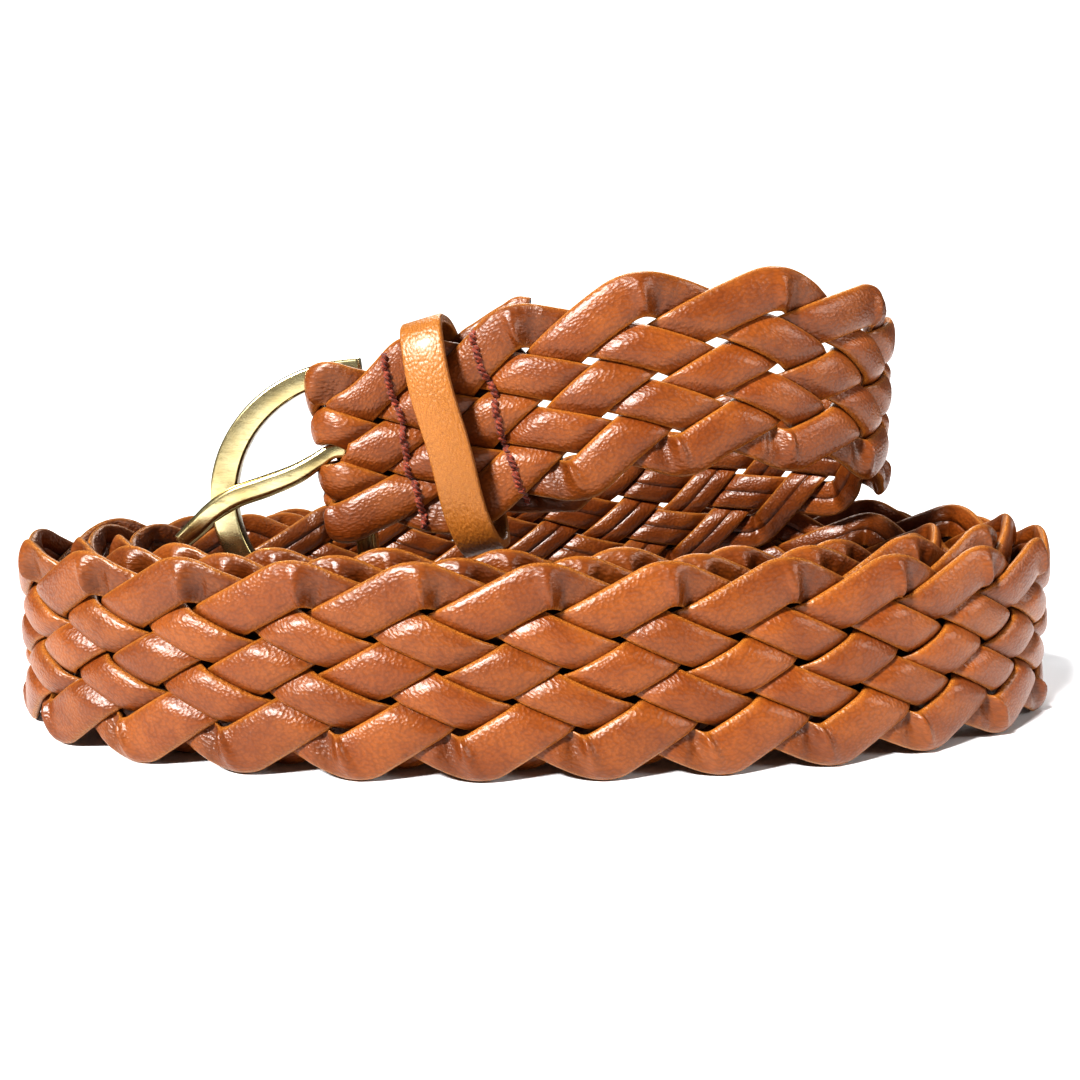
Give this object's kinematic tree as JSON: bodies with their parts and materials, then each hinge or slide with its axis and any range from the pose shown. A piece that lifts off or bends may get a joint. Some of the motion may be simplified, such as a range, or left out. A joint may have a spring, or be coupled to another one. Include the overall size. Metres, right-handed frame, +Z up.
{
  "type": "plaited leather belt",
  "caption": "Flat plaited leather belt coiled on its edge, with a horseshoe buckle, a swinging prong and a sliding leather keeper.",
  "frame": {"origin": "on the table under the middle of the coil's outer turn", "axes": "+X along the coil, +Y to its far side, +Z up"},
  "size_m": [0.1716, 0.0851, 0.0707],
  "materials": {
    "leather": "tan full-grain leather, folded into flat strips, satin, lighter at the folded edges",
    "keeper_leather": "tan grained leather band, satin, paler cut edges",
    "thread": "rust red waxed thread, twisted",
    "brass": "antique brass, bright on the flats and darker in the corners"
  },
  "bodies": {
    "strap": {"strand_1": "leather", "strand_2": "leather", "strand_3": "leather", "strand_4": "leather", "strand_5": "leather", "strand_6": "leather", "stitch_row_1": "thread", "stitch_row_2": "thread", "tip_stitching": "thread"},
    "buckle": {"buckle_frame": "brass", "buckle_bar": "brass"},
    "prong": {"prong": "brass"},
    "keeper": {"keeper": "keeper_leather", "keeper_staple": "brass"}
  },
  "joints": [
    {"name": "buckle_hinge", "type": "hinge", "parent": "strap", "child": "buckle", "pos_m": [-0.03022, -0.0148, 0.0435], "axis": [-0.1121, 0.0021, 0.9937], "range_deg": [-12, 4]},
    {"name": "prong_hinge", "type": "hinge", "parent": "buckle", "child": "prong", "pos_m": [-0.03022, -0.0148, 0.0435], "axis": [-0.1121, 0.0021, 0.9937], "range_deg": [-2, 36]},
    {"name": "keeper_slide", "type": "slide", "parent": "strap", "child": "keeper", "axis": [0.9399, -0.2163, 0.2642], "range_m": [-0.0015, 0.0015]}
  ]
}
